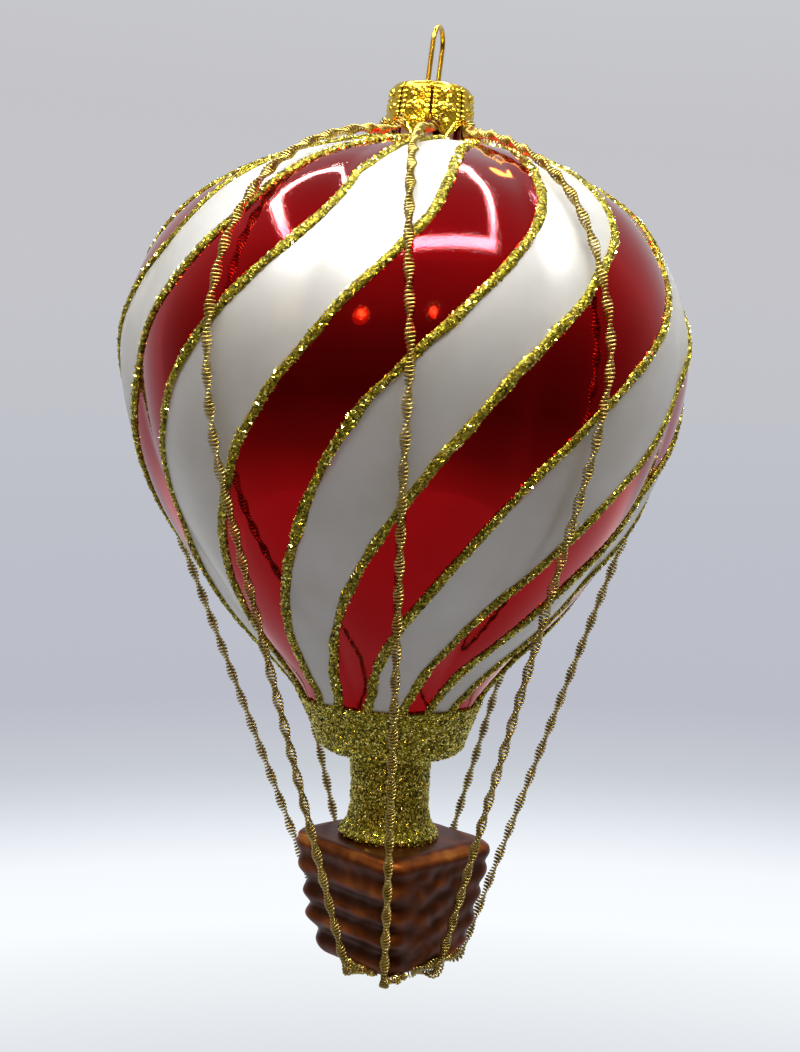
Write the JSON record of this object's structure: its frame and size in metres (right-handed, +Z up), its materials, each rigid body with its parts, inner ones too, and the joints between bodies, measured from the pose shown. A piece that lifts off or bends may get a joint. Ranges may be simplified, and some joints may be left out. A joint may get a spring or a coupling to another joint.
{
  "type": "hot air balloon tree ornament",
  "caption": "Blown glass ornament shaped like a striped hot air balloon, with a basket on wire strands, a pressed gold cap and a wire loop that it swings on.",
  "frame": {"origin": "inner top of the hanging loop, where a hook or thread would carry the ornament", "axes": "+Z up along the hanging ornament, -Y towards the side that the picture shows, where one corner of the basket points"},
  "size_m": [0.0912, 0.0938, 0.1516],
  "materials": {
    "red_and_white_lacquered_glass": "silvered inside, red gloss stripes and pearl white stripes",
    "brown_lacquered_glass": "silvered inside, dark brown gloss with lighter ribs",
    "gold_tinplate": "polished, pressed pattern",
    "gold_wire": "bright",
    "clear_glue": "dried glue",
    "gold_glitter": "metallised glitter flakes in clear glue",
    "glitter_coated_glass": "blown glass covered with gold glitter"
  },
  "bodies": {
    "hanger": {"hanging_loop": "gold_wire"},
    "ornament": {"cap": "gold_tinplate", "glass_envelope": "red_and_white_lacquered_glass", "glitter_cup": "glitter_coated_glass", "burner_column": "glitter_coated_glass", "basket": "brown_lacquered_glass", "glue_dab": "clear_glue", "glitter_line_01": "gold_glitter", "glitter_line_02": "gold_glitter", "glitter_line_03": "gold_glitter", "glitter_line_04": "gold_glitter", "glitter_line_05": "gold_glitter", "glitter_line_06": "gold_glitter", "glitter_line_07": "gold_glitter", "glitter_line_08": "gold_glitter", "glitter_line_09": "gold_glitter", "glitter_line_10": "gold_glitter", "glitter_line_11": "gold_glitter", "glitter_line_12": "gold_glitter", "glitter_line_13": "gold_glitter", "glitter_line_14": "gold_glitter", "glitter_line_15": "gold_glitter", "glitter_line_16": "gold_glitter", "strand_front": "gold_wire", "strand_front_right": "gold_wire", "strand_right": "gold_wire", "strand_back_right": "gold_wire", "strand_back": "gold_wire", "strand_back_left": "gold_wire", "strand_left": "gold_wire", "strand_front_left": "gold_wire"}
  },
  "joints": [
    {"name": "ornament_swing", "type": "hinge", "parent": "hanger", "child": "ornament", "pos_m": [-0.00045, 0, -0.00925], "axis": [0.2588, 0.9659, 0], "range_deg": [-8, 8]}
  ]
}
